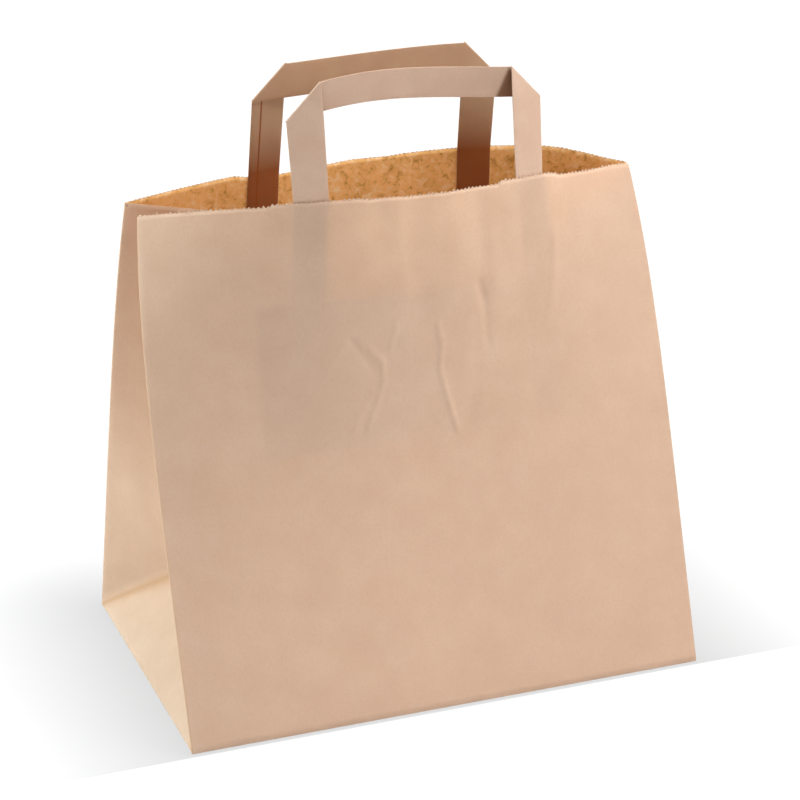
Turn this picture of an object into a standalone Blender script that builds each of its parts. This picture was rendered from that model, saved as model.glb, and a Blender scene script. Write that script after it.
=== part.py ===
"""A kraft paper carrier bag: one folded sheet with two flat, folded paper handles glued inside it.

The frame is metres, +Z up, with the origin on the underside, in the middle of the base. The front faces -Y.
The bag stands empty on its opened base. Its front and rear walls lean together towards the mouth, both
gussets fold inwards between them, and the walls bow apart round the handles. Every wall is worked out
from the flat sheet, so paper keeps its length from the base to the mouth.
"""

import math
from collections import namedtuple

import bpy
import numpy as np

# The flat sheet, as bags are sold: width, gusset and height
WIDTH = 0.260
GUSSET = 0.170
HEIGHT = 0.250
WALL = 0.0004
FOLD_RADIUS = 0.0009
BASE_FOLD_RADIUS = 0.0006

# How the standing bag opens
MOUTH_CORNER_GAP = 0.0085
MOUTH_SKEW = 0.0045
FRONT_BOW = 0.037
FRONT_BOW_SKEW = -0.5
REAR_BOW = 0.026
REAR_BOW_SKEW = 0.3
BOW_GROWTH = 2.5

# Glued laps of the sheet: the seam up the rear wall, and the two long flaps under the base
SEAM_LAP = 0.020
SEAM_PLY = 0.0002
FLAP_PLY = 0.0002
FLAP_TUCK = 0.060
FLAP_OVERLAP = 0.030
FLAP_INSET = 0.0015
REAR_FLAP_TOP = FLAP_PLY * 2 + WALL * 0.6
FRONT_FLAP_TOP = FLAP_PLY * 2 + WALL * 0.4

# The handles: strips folded flat, bent at 45 degrees into a loop
HANDLE_WIDTH = 0.0170
HANDLE_THICKNESS = 0.0007
HANDLE_FOLD_RADIUS = 0.0008
HANDLE_SEAM = 0.005
HANDLE_SEAM_PLY = 0.00015
LEG_GLUED = 0.116
FRONT_LEG_SPACING = 0.1205
FRONT_LEG_SHIFT = 0.0045
REAR_LEG_SPACING = 0.1125
REAR_LEG_SHIFT = 0.0006

# The patches glued over the legs' ends
PATCH_WIDTH = 0.172
PATCH_HEIGHT = 0.072
PATCH_THICKNESS = 0.0003
PATCH_DROP = 0.048
PATCH_RAMP = 0.004
CLEARANCE = 0.00035

# How finely the curved paper is cut into flat facets
PANEL_COLUMNS = 24
GUSSET_COLUMNS = 12
FOLD_POINTS = 4
FLAT_HALF_ANGLE = math.radians(85)
NEAREST_COLUMNS = WIDTH / PANEL_COLUMNS / 4
BAND_STEPS = 14
LEG_STEPS = 8
TABLE_STEPS = 200

FLOOR = WALL + 2 * FLAP_PLY
HALF_GUSSET = GUSSET / 2

# A leg's rise is to its outer end of the fold. Its lean is into the bag, its splay is towards its fellow,
# and its opening is how far the band has sprung open from lying flat on the leg.
Leg = namedtuple("Leg", "rise lean splay opening")
Side = namedtuple("Side", "name sign bow bow_skew spacing shift legs")
FRONT_LEGS = {
    -1: Leg(0.0378, math.radians(-6.5), math.radians(-6.0), math.radians(27)),
    1: Leg(0.0362, math.radians(-7.0), math.radians(0.5), math.radians(34)),
}
REAR_LEGS = {
    -1: Leg(0.0380, math.radians(3.5), math.radians(-2.0), math.radians(5)),
    1: Leg(0.0400, math.radians(4.0), math.radians(-2.0), math.radians(9)),
}
FRONT = Side("front", -1, FRONT_BOW, FRONT_BOW_SKEW, FRONT_LEG_SPACING, FRONT_LEG_SHIFT, FRONT_LEGS)
REAR = Side("rear", 1, REAR_BOW, REAR_BOW_SKEW, REAR_LEG_SPACING, REAR_LEG_SHIFT, REAR_LEGS)


def unit(vector):
    return vector / np.linalg.norm(vector)


def clear_scene():
    for item in list(bpy.data.objects):
        bpy.data.objects.remove(item, do_unlink=True)


def paper(name, colour, roughness):
    """A paper material: a Principled BSDF with no metal and no clear gloss."""
    material = bpy.data.materials.new(name)
    material.use_nodes = True
    shader = material.node_tree.nodes["Principled BSDF"]
    shader.inputs["Base Color"].default_value = (*colour, 1.0)
    shader.inputs["Roughness"].default_value = roughness
    shader.inputs["Metallic"].default_value = 0.0
    return material


def panel_line(side, across, heights):
    """Points up one line of the front or rear wall, at the given heights along the paper.

    The walls lean in evenly and bow outwards more and more. Height above the floor is summed up from
    what is left of each short length of paper once its sideways run is taken off.
    """
    share = np.linspace(0, 1, TABLE_STEPS + 1)
    bow = side.bow * share**BOW_GROWTH
    lean = (GUSSET - MOUTH_CORNER_GAP) / 2 * share
    v = 2 * across / WIDTH - 1
    shortening = 4 / 3 * bow**2 / WIDTH
    x = v * (WIDTH / 2 - shortening)
    bulge = bow * (1 - v * v) * (1 + side.bow_skew * v)
    y = side.sign * (HALF_GUSSET - lean + bulge) - MOUTH_SKEW * v * share
    rise = np.sqrt((HEIGHT / TABLE_STEPS) ** 2 - np.diff(x) ** 2 - np.diff(y) ** 2)
    z = FLOOR + np.concatenate([[0], np.cumsum(rise)])
    table = share * HEIGHT
    return np.stack([np.interp(heights, table, axis) for axis in (x, y, z)], axis=-1)


def panel_frame(side, across, height):
    """A point of a wall, with the directions across it, up it and into the bag."""
    step = HEIGHT / TABLE_STEPS
    centre, above = panel_line(side, across, [height - step, height])
    beside = panel_line(side, across + step, [height])[0]
    level = panel_line(side, across, [height])[0]
    along, up = unit(beside - level), unit(above - centre)
    inward = -side.sign * unit(np.cross(up, along))
    return level, along, up, inward


def middle_fold(hand, front, rear, below, length):
    """The gusset's middle fold, half a gusset from both upright folds and a length from the point below."""
    pivot = (front + rear) / 2
    reach = math.sqrt(HALF_GUSSET**2 - (front - rear) @ (front - rear) / 4)
    gap = below - pivot
    inward, drop, level = -hand * gap[0], gap[2], length**2 - gap[1] ** 2
    distance = math.hypot(inward, drop)
    opening = math.acos((reach**2 + distance**2 - level) / (2 * reach * distance))
    angle = math.atan2(drop, inward) + opening
    return pivot + reach * np.array([-hand * math.cos(angle), 0.0, math.sin(angle)])


def row_heights():
    """Heights of the rows along the paper: the gusset's spacing up to its apex, then even rows above."""
    step = GUSSET / GUSSET_COLUMNS
    lower = [BASE_FOLD_RADIUS] + [step * row for row in range(1, GUSSET_COLUMNS // 2 + 1)]
    count = round((HEIGHT - HALF_GUSSET) / step)
    upper = np.linspace(HALF_GUSSET, HEIGHT, count + 1)[1:]
    return np.concatenate([lower, upper])


def gusset_rows(hand, heights):
    """Rows of points across one gusset, from its front fold to its rear fold.

    Below the apex a row crosses two diagonal folds with the flat foot between them. Above it the row is
    a V, whose middle fold is found row by row from the lengths of paper to its neighbours.
    """
    across = WIDTH if hand > 0 else 0.0
    front = panel_line(FRONT, across, heights)
    rear = panel_line(REAR, across, heights)
    corners = [panel_line(side, across, [0.0])[0] for side in (FRONT, REAR)]
    apex_row = GUSSET_COLUMNS // 2
    base_middle = np.array([hand * WIDTH / 2, 0.0, FLOOR])
    apex = middle_fold(hand, front[apex_row], rear[apex_row], base_middle, HALF_GUSSET)
    places = np.linspace(0, GUSSET, GUSSET_COLUMNS + 1)
    rows, middle = [], apex
    for row, height in enumerate(heights):
        if row > apex_row:
            step = height - heights[row - 1]
            middle = middle_fold(hand, front[row], rear[row], middle, step)
        share = min(height / HALF_GUSSET, 1.0)
        folds = [corner + (apex - corner) * share for corner in corners]
        if row > apex_row:
            folds = [middle, middle]
        knots = [0.0, share * HALF_GUSSET, GUSSET - share * HALF_GUSSET, GUSSET]
        points = np.array([front[row], folds[0], folds[1], rear[row]])
        if share == 1.0:
            knots, points = [0.0, HALF_GUSSET, GUSSET], points[[0, 1, 3]]
        rows.append(np.stack([np.interp(places, knots, points[:, axis]) for axis in range(3)], axis=-1))
    return rows


def rounded_fold(before, corner, after):
    """Points round a fold of FOLD_RADIUS, wrapped like a belt on a pin between its two neighbours.

    Where the paper is nearly flat there is no fold to wrap, and the points spread a third of the way out.
    """
    to_before, to_after = unit(before - corner), unit(after - corner)
    opening = math.acos(np.clip(to_before @ to_after, -1, 1)) / 2
    if opening > FLAT_HALF_ANGLE:
        shares = np.linspace(-1 / 3, 1 / 3, FOLD_POINTS)
        return [corner + abs(share) * ((after if share > 0 else before) - corner) for share in shares]
    inward = unit(to_before + to_after)
    aside = unit(to_after - to_before)
    centre = corner + inward * FOLD_RADIUS * min(1 / math.sin(opening), math.sqrt(2))
    turns = []
    for neighbour in (before, after):
        reach = neighbour - centre
        away = math.acos(np.clip(-unit(reach) @ inward, -1, 1))
        turns.append(away - math.acos(FOLD_RADIUS / np.linalg.norm(reach)))
    angles = np.linspace(-turns[0], turns[1], FOLD_POINTS)
    return [centre + FOLD_RADIUS * (math.sin(a) * aside - math.cos(a) * inward) for a in angles]


def panel_places(side):
    """Places of the columns across a wall. The rear wall has two more, where its glued seam steps down."""
    places = list(np.linspace(0, WIDTH, PANEL_COLUMNS + 1))
    if side is REAR:
        edge = WIDTH - SEAM_LAP
        places = [place for place in places if abs(place - edge) > NEAREST_COLUMNS]
        places = sorted(places + [edge - SEAM_PLY, edge + SEAM_PLY])
    return places


def body_rings():
    """Rings of points round the bag, one for each row, and what part of the sheet each column belongs to."""
    heights = row_heights()
    front = [panel_line(FRONT, place, heights) for place in panel_places(FRONT)]
    rear_places = panel_places(REAR)
    rear = [panel_line(REAR, place, heights) for place in rear_places]
    right, left = gusset_rows(1, heights), gusset_rows(-1, heights)
    half = GUSSET_COLUMNS // 2
    rings = []
    for row in range(len(heights)):
        f = [line[row] for line in front]
        r = [line[row] for line in rear]
        g, h = list(right[row]), list(left[row])
        ring = rounded_fold(h[1], f[0], f[1]) + f[1:-1] + rounded_fold(f[-2], f[-1], g[1])
        ring += g[1:half] + rounded_fold(*g[half - 1 : half + 2]) + g[half + 1 : -1]
        ring += rounded_fold(g[-2], r[-1], r[-2]) + r[-2:0:-1] + rounded_fold(r[1], r[0], h[-2])
        ring += h[-2:half:-1] + rounded_fold(*h[half + 1 : half - 2 : -1]) + h[half - 1 : 0 : -1]
        rings.append(np.array(ring))
    fold = ["fold"] * FOLD_POINTS
    gusset = ["gusset_in"] * (half - 1) + fold + ["gusset_out"] * (half - 1)
    seam = ["seam" if place > WIDTH - SEAM_LAP else "rear" for place in rear_places[-2:0:-1]]
    parts = fold + ["front"] * (len(front) - 2) + fold + gusset
    parts += ["seam"] * FOLD_POINTS + seam + fold + gusset
    return rings, parts


def inset_ring(ring, inset, height):
    """The ring moved inwards by a distance, level, at a height."""
    flat = ring[:, :2]
    edges = np.roll(flat, -1, axis=0) - flat
    normals = np.stack([-edges[:, 1], edges[:, 0]], axis=-1)
    normals /= np.linalg.norm(normals, axis=1, keepdims=True)
    mean = normals + np.roll(normals, 1, axis=0)
    mean /= (mean * normals).sum(axis=1, keepdims=True)
    return np.column_stack([flat + mean * inset, np.full(len(ring), height)])


def new_object(name, vertices, faces, material):
    mesh = bpy.data.meshes.new(name)
    mesh.from_pydata([tuple(vertex) for vertex in vertices], [], faces)
    mesh.materials.append(material)
    mesh.validate()
    item = bpy.data.objects.new(name, mesh)
    bpy.context.scene.collection.objects.link(item)
    return item


def thicken(item, thickness, offset, weights=None):
    """Gives a sheet its thickness. Weights from 0 to 1 thin it where it has fewer plies."""
    solidify = item.modifiers.new("Paper", "SOLIDIFY")
    solidify.thickness = thickness
    solidify.offset = offset
    solidify.use_even_offset = True
    if weights is not None:
        group = item.vertex_groups.new(name="plies")
        for vertex, weight in enumerate(weights):
            group.add([vertex], weight, "REPLACE")
        solidify.vertex_group = group.name


def base_flap(side, bottom, top):
    """One of the two long flaps folded under the base, cut back at 45 degrees at its ends."""
    edge = HALF_GUSSET - FLAP_INSET
    end = WIDTH / 2 - FLAP_INSET
    cut = end - FLAP_TUCK
    outline = [(-end, edge), (end, edge), (cut, edge - FLAP_TUCK)]
    outline += [(cut, -FLAP_OVERLAP / 2), (-cut, -FLAP_OVERLAP / 2), (-cut, edge - FLAP_TUCK)]
    outline = [(x, side.sign * y) for x, y in outline]
    count = len(outline)
    vertices = [(x, y, z) for z in (bottom, top) for x, y in outline]
    faces = [tuple(range(count)), tuple(range(2 * count - 1, count - 1, -1))]
    faces += [(i, i + count, (i + 1) % count + count, (i + 1) % count) for i in range(count)]
    if side.sign < 0:
        faces = [tuple(reversed(face)) for face in faces]
    flap = new_object(f"{side.name}_base_flap", vertices, faces, bpy.data.materials["kraft_outside"])
    flap.hide_render = True
    flap.display_type = "WIRE"
    return flap


def bag_body(material):
    """The folded sheet: four walls and a floor, thickened outwards, with the glued laps as extra plies."""
    rings, parts = body_rings()
    turned = BASE_FOLD_RADIUS * (1 - math.cos(math.pi / 4))
    lowest = [inset_ring(rings[0], BASE_FOLD_RADIUS, FLOOR), inset_ring(rings[0], turned, FLOOR + turned)]
    rings = lowest + rings
    count = len(rings[0])
    vertices = np.concatenate(rings)
    faces = [tuple(range(count - 1, -1, -1))]
    for row in range(len(rings) - 1):
        low, high = row * count, (row + 1) * count
        for column in range(count):
            after = (column + 1) % count
            a, b, c, d = low + column, low + after, high + after, high + column
            rising = "gusset_in" in (parts[column], parts[after])
            faces += [(a, b, c), (a, c, d)] if rising else [(a, b, d), (b, c, d)]
    body = new_object("bag_body", vertices, faces, material)
    thickest = WALL + SEAM_PLY
    weights = [WALL / thickest] * (2 * count)
    weights += [1.0 if part == "seam" else WALL / thickest for part in parts] * (len(rings) - 2)
    thicken(body, thickest, 1.0, weights)
    for flap in (base_flap(REAR, FLAP_PLY, REAR_FLAP_TOP), base_flap(FRONT, 0.0, FRONT_FLAP_TOP)):
        union = body.modifiers.new(flap.name, "BOOLEAN")
        union.operation = "UNION"
        union.object = flap
    return body


def leg(side, hand):
    """Rulings up one leg of a handle to the mouth, as (outer edge, inner edge), and the frame above it."""
    centre = WIDTH / 2 + side.shift + hand * side.spacing / 2
    edges = (centre + hand * HANDLE_WIDTH / 2, centre - hand * HANDLE_WIDTH / 2)
    lift = CLEARANCE + (HANDLE_THICKNESS + HANDLE_SEAM_PLY) / 2
    rulings = []
    for height in np.linspace(HEIGHT - LEG_GLUED, HEIGHT, LEG_STEPS + 1):
        frames = [panel_frame(side, place, height) for place in edges]
        rulings.append([point + inward * lift for point, along, up, inward in frames])
    along, up = unit(rulings[-1][1] - rulings[-1][0]), unit(rulings[-1][0] - rulings[-2][0])
    inward = -side.sign * hand * unit(np.cross(along, up))
    lean, splay = side.legs[hand].lean, side.legs[hand].splay
    up = up * math.cos(lean) + inward * math.sin(lean)
    up = unit(up * math.cos(splay) + along * math.sin(splay))
    along = unit(along - up * (along @ up))
    inward = -side.sign * hand * unit(np.cross(along, up))
    return rulings, along, up, inward


def folded_corner(side, hand, outer, along, up, inward):
    """Rulings round the 45 degree fold at a leg's top, then the band's first ruling and its direction.

    `outer` is where the leg's outer edge meets the fold line, and `along` runs from outer to inner edge.
    """
    fold = unit(along + up)
    beyond = unit(up - along)
    ends = (outer, outer + (along + up) * HANDLE_WIDTH)
    rulings = []
    for turn in np.linspace(0, math.pi - side.legs[hand].opening, FOLD_POINTS + 1):
        shift = HANDLE_FOLD_RADIUS * (inward * (1 - math.cos(turn)) + beyond * math.sin(turn))
        rulings.append([end + shift for end in ends])
    onward = beyond * math.cos(turn) + inward * math.sin(turn)
    direction, across = unit(fold + onward), unit(fold - onward)
    low = rulings[-1][0] + direction * HANDLE_WIDTH
    rulings.append([low, low + across * HANDLE_WIDTH])
    return rulings, direction


def band(start, start_direction, end, end_direction):
    """Rulings along the band between its two folds: an even curve that leaves each in its own direction."""
    rulings = []
    reach = np.linalg.norm(end[0] - start[0])
    for share in np.linspace(0, 1, BAND_STEPS + 1)[1:-1]:
        a = (1 + 2 * share) * (1 - share) ** 2
        b = share * (1 - share) ** 2 * reach
        c = share**2 * (3 - 2 * share)
        d = share**2 * (share - 1) * reach
        low, high = (a * start[i] + b * start_direction + c * end[i] - d * end_direction for i in (0, 1))
        rulings.append([low, low + unit(high - low) * HANDLE_WIDTH])
    return rulings


def handle(side, material):
    """A handle: one strip, up one leg, through its folds and the band, and down the other leg."""
    halves = []
    for hand in (-1, 1):
        rulings, along, up, inward = leg(side, hand)
        outer = rulings[-1][0] + up * side.legs[hand].rise
        near = outer - up * HANDLE_FOLD_RADIUS
        rulings.append([near, near + along * HANDLE_WIDTH])
        corner, direction = folded_corner(side, hand, outer, along, up, inward)
        halves.append((rulings + corner, direction))
    (left, left_direction), (right, right_direction) = halves
    rulings = left + band(left[-1], left_direction, right[-1], right_direction) + right[::-1]
    across = [0.0, HANDLE_SEAM - HANDLE_SEAM_PLY, HANDLE_SEAM + HANDLE_SEAM_PLY, HANDLE_WIDTH]
    vertices = [a + (b - a) * place / HANDLE_WIDTH for a, b in rulings for place in across]
    width = len(across)
    faces = []
    for row in range(len(rulings) - 1):
        for column in range(width - 1):
            corner = row * width + column
            face = (corner, corner + 1, corner + width + 1, corner + width)
            faces.append(face if side.sign < 0 else face[::-1])
    item = new_object(f"{side.name}_handle", vertices, faces, material)
    thickest = HANDLE_THICKNESS + HANDLE_SEAM_PLY
    single = HANDLE_THICKNESS / thickest
    weights = [single, single, 1.0, 1.0] * len(rulings)
    thicken(item, thickest, 0.0, weights)
    return item


def patch(side, material):
    """A patch glued over both legs' ends: it lies on the wall and steps up over each leg."""
    centre = WIDTH / 2 + side.shift
    low = CLEARANCE + PATCH_THICKNESS / 2
    high = low + HANDLE_THICKNESS + HANDLE_SEAM_PLY + CLEARANCE
    half_leg = HANDLE_WIDTH / 2 + CLEARANCE
    knots = [(-PATCH_WIDTH / 2, low), (PATCH_WIDTH / 2, low)]
    for middle in (-side.spacing / 2, side.spacing / 2):
        knots += [(middle + end * half_leg, high) for end in (-1, 1)]
        knots += [(middle + end * (half_leg + PATCH_RAMP), low) for end in (-1, 1)]
    knots.sort()
    ends = [place for place, lift in knots]
    columns = np.linspace(0, WIDTH, PANEL_COLUMNS + 1) - centre
    columns = [column for column in columns if abs(column) < PATCH_WIDTH / 2]
    places = ends + [c for c in columns if min(abs(c - end) for end in ends) > NEAREST_COLUMNS]
    places.sort()
    lifts = np.interp(places, ends, [lift for place, lift in knots])
    heights = np.linspace(HEIGHT - PATCH_DROP - PATCH_HEIGHT, HEIGHT - PATCH_DROP, LEG_STEPS)
    vertices = []
    for height in heights:
        for place, lift in zip(places, lifts):
            point, along, up, inward = panel_frame(side, centre + place, height)
            vertices.append(point + inward * lift)
    width = len(places)
    faces = []
    for row in range(len(heights) - 1):
        for column in range(width - 1):
            corner = row * width + column
            face = (corner, corner + 1, corner + width + 1, corner + width)
            faces.append(face if side.sign < 0 else face[::-1])
    item = new_object(f"{side.name}_handle_patch", vertices, faces, material)
    thicken(item, PATCH_THICKNESS, 0.0)
    return item


def main():
    clear_scene()
    outside = paper("kraft_outside", (0.57, 0.38, 0.25), 0.85)
    strip = paper("kraft_handle", (0.52, 0.36, 0.25), 0.8)
    inside = paper("kraft_patch", (0.55, 0.30, 0.10), 0.85)
    bag = bpy.data.objects.new("carrier_bag", None)
    bpy.context.scene.collection.objects.link(bag)
    pieces = [bag_body(outside)]
    for side in (FRONT, REAR):
        pieces += [handle(side, strip), patch(side, inside)]
    for piece in pieces:
        piece.parent = bag


main()
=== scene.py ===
# %% [markdown]
# # A kraft paper carrier bag
#
# The real bag is one sheet of brown kraft paper, folded into a front, a back, two gussets and a block
# base, with two flat paper handles glued inside it. It stands empty, with its mouth nearly closed. Five
# plates would look like card, because the life of a paper bag is in how the sheet bends without
# stretching. So everything is worked out from the flat sheet, as in the CAD model, the script's frame.

# %% Load the CAD frame
import math
from collections import namedtuple

import bpy
import numpy as np
from mathutils import Matrix, Vector


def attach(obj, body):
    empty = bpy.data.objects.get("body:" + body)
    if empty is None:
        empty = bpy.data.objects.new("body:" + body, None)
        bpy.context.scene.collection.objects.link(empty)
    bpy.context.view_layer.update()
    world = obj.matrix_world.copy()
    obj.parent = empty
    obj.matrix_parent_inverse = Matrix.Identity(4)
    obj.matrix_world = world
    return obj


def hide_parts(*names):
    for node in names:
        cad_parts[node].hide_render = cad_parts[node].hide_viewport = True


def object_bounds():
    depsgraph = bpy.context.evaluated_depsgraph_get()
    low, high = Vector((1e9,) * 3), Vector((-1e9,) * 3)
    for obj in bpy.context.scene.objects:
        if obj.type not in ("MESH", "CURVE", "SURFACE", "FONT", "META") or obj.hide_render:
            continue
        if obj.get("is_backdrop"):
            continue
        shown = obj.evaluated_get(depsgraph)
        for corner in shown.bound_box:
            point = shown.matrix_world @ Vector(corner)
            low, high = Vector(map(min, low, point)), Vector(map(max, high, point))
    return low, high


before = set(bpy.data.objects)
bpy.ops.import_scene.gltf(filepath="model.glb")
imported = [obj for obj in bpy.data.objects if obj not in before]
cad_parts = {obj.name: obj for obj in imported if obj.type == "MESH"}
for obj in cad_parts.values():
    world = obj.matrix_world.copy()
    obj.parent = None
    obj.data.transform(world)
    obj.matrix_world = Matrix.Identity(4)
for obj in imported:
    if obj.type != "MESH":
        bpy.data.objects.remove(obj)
cad_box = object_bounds()
print("nodes:", sorted(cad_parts))

# %% [markdown]
# ## The photographer's camera
#
# The camera looks from the front left and a little above, from 1.15 m away. A long lens keeps the
# upright folds nearly parallel. Its axis passes beside the bag's middle, so the camera is moved across
# its own picture instead of being turned.

# %% Camera
CAMERA_AZIMUTH = 0.3628
CAMERA_ELEVATION = 0.3616
CAMERA_ROLL = -0.0034
CAMERA_DISTANCE = 1.1485
CAMERA_ACROSS = 0.00484
CAMERA_UP = -0.00227
CAMERA_LENS = 105.1
AIM = np.array([0.0, 0.0, 0.13])


def unit(vectors):
    return vectors / np.linalg.norm(vectors, axis=-1, keepdims=True)


def link(name, data):
    thing = bpy.data.objects.new(name, data)
    bpy.context.scene.collection.objects.link(thing)
    return thing


def add_camera():
    level = math.cos(CAMERA_ELEVATION)
    sine, cosine = math.sin(CAMERA_AZIMUTH), math.cos(CAMERA_AZIMUTH)
    back = np.array([-sine * level, -cosine * level, math.sin(CAMERA_ELEVATION)])
    right = np.array([cosine, -sine, 0.0])
    up = np.cross(back, right)
    place = AIM + back * CAMERA_DISTANCE + right * CAMERA_ACROSS + up * CAMERA_UP
    turned_right = math.cos(CAMERA_ROLL) * right + math.sin(CAMERA_ROLL) * up
    turned_up = math.cos(CAMERA_ROLL) * up - math.sin(CAMERA_ROLL) * right
    data = bpy.data.cameras.new("photographer")
    data.lens = CAMERA_LENS
    data.sensor_width = 36.0
    data.clip_start, data.clip_end = 0.01, 50.0
    camera = link("photographer", data)
    axes = np.column_stack([turned_right, turned_up, back])
    camera.matrix_world = Matrix.Translation(Vector(place)) @ Matrix(axes.tolist()).to_4x4()
    bpy.context.scene.camera = camera
    return camera


camera = add_camera()
print("camera at", [round(x, 3) for x in camera.location])

# %% [markdown]
# ## Colours and nodes
#
# Colours are written as sRGB hex values, and one function turns them to the linear light that Cycles
# works in. Another adds a node with its settings and links.

# %% Colour and node helpers
bpy.context.scene.view_settings.view_transform = "Standard"


def linear(colour):
    """An sRGB hex colour as linear RGBA."""
    parts = [int(colour[i : i + 2], 16) / 255 for i in (1, 3, 5)]
    turned = [p / 12.92 if p <= 0.04045 else ((p + 0.055) / 1.055) ** 2.4 for p in parts]
    return (*turned, 1.0)


def add_node(tree, kind, inputs=None, **settings):
    """Adds a node. `settings` are its own properties, and `inputs` gives each socket a value or a link."""
    node = tree.nodes.new(kind)
    for name, value in settings.items():
        setattr(node, name, value)
    for key, value in (inputs or {}).items():
        if isinstance(value, bpy.types.NodeSocket):
            tree.links.new(value, node.inputs[key])
        else:
            node.inputs[key].default_value = value
    return node


def empty_material(name):
    material = bpy.data.materials.new(name)
    material.use_nodes = True
    material.node_tree.nodes.clear()
    return material


# %% [markdown]
# ## A white table and soft light
#
# The bag was photographed on white, under large soft lights overhead and to the right, with a weak one
# in front. They make the sloping front bright, and leave the legs of the rear handle dark, because
# they lean forwards over the mouth; more shade is painted on the rear handle, most on its legs. Two
# lamps on the left, a little bluer, brighten the gusset, and one behind the bag shines through the rear
# wall and makes the inside glow. To the bag the table is plain white paint. To the camera it also
# glows, so that it goes to pure white, and glows less beside and behind the bag's foot, where the
# photograph has its only soft shadow: there the table carries a painted shadow.

# %% Table and world
TABLE_SIZE = 6.0
TABLE_PAINT = 0.04
SHADOW_GLOW, SHADOW_REACH, SHADOW_EDGE = 0.70, 0.080, 0.002
FOOT_HALF_WIDTH, FOOT_HALF_DEPTH = 0.130, 0.0855


def table_glow_and_painted_shadow(tree):
    """The table's glow for the camera, with a painted soft shadow: low against the foot's sides and back, and
    1 from 80 mm away.
    """
    coordinates = add_node(tree, "ShaderNodeTexCoord").outputs["Object"]
    place = add_node(tree, "ShaderNodeSeparateXYZ", {0: coordinates}).outputs
    beside = add_node(tree, "ShaderNodeMath", {0: place["X"]}, operation="ABSOLUTE").outputs[0]
    away = []
    for run, half in ((beside, FOOT_HALF_WIDTH), (place["Y"], FOOT_HALF_DEPTH)):
        past = add_node(tree, "ShaderNodeMath", {0: run, 1: half}, operation="SUBTRACT").outputs[0]
        away.append(add_node(tree, "ShaderNodeMath", {0: past, 1: 0.0}, operation="MAXIMUM").outputs[0])
    gap = add_node(tree, "ShaderNodeCombineXYZ", {"X": away[0], "Y": away[1]})
    gap = add_node(tree, "ShaderNodeVectorMath", {0: gap.outputs[0]}, operation="LENGTH")
    glow = add_node(tree, "ShaderNodeMapRange", {
        "Value": gap.outputs["Value"], "From Max": SHADOW_REACH, "To Min": SHADOW_GLOW, "To Max": 1.0})
    front = add_node(tree, "ShaderNodeMapRange", {
        "Value": place["Y"], "From Min": -FOOT_HALF_DEPTH - SHADOW_EDGE,
        "From Max": -FOOT_HALF_DEPTH + SHADOW_EDGE, "To Min": 1.0, "To Max": 0.0})
    either = {0: glow.outputs[0], 1: front.outputs[0]}
    return add_node(tree, "ShaderNodeMath", either, operation="MAXIMUM").outputs[0]


def seen_share(tree):
    """1 where the camera or a gloss sees the surface, and 0 where it only lights the bag."""
    path = add_node(tree, "ShaderNodeLightPath").outputs
    either = {0: path["Is Camera Ray"], 1: path["Is Glossy Ray"]}
    return add_node(tree, "ShaderNodeMath", either, operation="MAXIMUM").outputs[0]


def add_table():
    mesh = bpy.data.meshes.new("table")
    half = TABLE_SIZE / 2
    corners = [(-half, -half, 0.0), (half, -half, 0.0), (half, half, 0.0), (-half, half, 0.0)]
    mesh.from_pydata(corners, [], [(0, 1, 2, 3)])
    table = link("table", mesh)
    material = empty_material("white_table")
    tree = material.node_tree
    painted = add_node(tree, "ShaderNodeBsdfDiffuse", {"Color": linear("#f4f4f4")})
    dimmer = add_node(tree, "ShaderNodeBsdfDiffuse", {"Color": (*[TABLE_PAINT] * 3, 1.0)})
    glow = add_node(tree, "ShaderNodeEmission", {"Color": linear("#ffffff"), "Strength": table_glow_and_painted_shadow(tree)})
    shown = add_node(tree, "ShaderNodeAddShader", {0: dimmer.outputs[0], 1: glow.outputs[0]})
    both = add_node(tree, "ShaderNodeMixShader", {
        0: seen_share(tree), 1: painted.outputs[0], 2: shown.outputs[0]})
    add_node(tree, "ShaderNodeOutputMaterial", {"Surface": both.outputs[0]})
    mesh.materials.append(material)
    table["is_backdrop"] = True


def add_world(strength):
    world = bpy.data.worlds.new("studio")
    bpy.context.scene.world = world
    world.use_nodes = True
    tree = world.node_tree
    tree.nodes.clear()
    room = add_node(tree, "ShaderNodeBackground", {"Color": linear("#ffffff"), "Strength": strength})
    white = add_node(tree, "ShaderNodeBackground", {"Color": linear("#ffffff"), "Strength": 1.0})
    both = add_node(tree, "ShaderNodeMixShader", {
        0: seen_share(tree), 1: room.outputs[0], 2: white.outputs[0]})
    add_node(tree, "ShaderNodeOutputWorld", {"Surface": both.outputs[0]})


add_table()
add_world(0.02)

# %% Lights
LIGHTS = {
    "overhead_softbox": ((0.25, -0.35, 1.7), 1.3, 15.5, "#ffffff"),
    "overhead_right_softbox": ((0.9, -0.3, 1.5), 1.0, 26.5, "#ffffff"),
    "front_fill_softbox": ((0.7, -2.1, 0.9), 1.2, 8.0, "#ffffff"),
    "rear_left_softbox": ((-1.3, 0.6, 0.7), 0.7, 25.0, "#e8fbff"),
    "low_left_softbox": ((-1.6, 0.12, 0.35), 0.6, 8.0, "#e8fbff"),
    "rear_softbox": ((0.2, 1.6, 0.9), 1.0, 21.0, "#ffffff"),
}


def add_light(name, place, size, power, colour):
    data = bpy.data.lights.new(name, "AREA")
    data.shape = "DISK"
    data.size = size
    data.energy = power
    data.color = linear(colour)[:3]
    light = link(name, data)
    light.location = place
    light.rotation_mode = "QUATERNION"
    light.rotation_quaternion = (Vector(AIM) - Vector(place)).to_track_quat("-Z", "Y")


for light_name, (place, size, power, colour) in LIGHTS.items():
    add_light(light_name, place, size, power, colour)
    print(light_name, power, "W")

# %% [markdown]
# ## Kraft paper
#
# Brown kraft is unbleached wood pulp, pressed flat with no coating. It is matt, with soft clouds where
# the pulp lies thicker and short fibres that catch the light. Lit from behind, the same sheet turns
# orange and shows its pulp as bright flakes: a sheet scatters light to both sides. So each paper is a
# Principled shader mixed with a Translucent one. The inside, which the lamp behind the bag shines
# through, has a larger share of the second.

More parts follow.
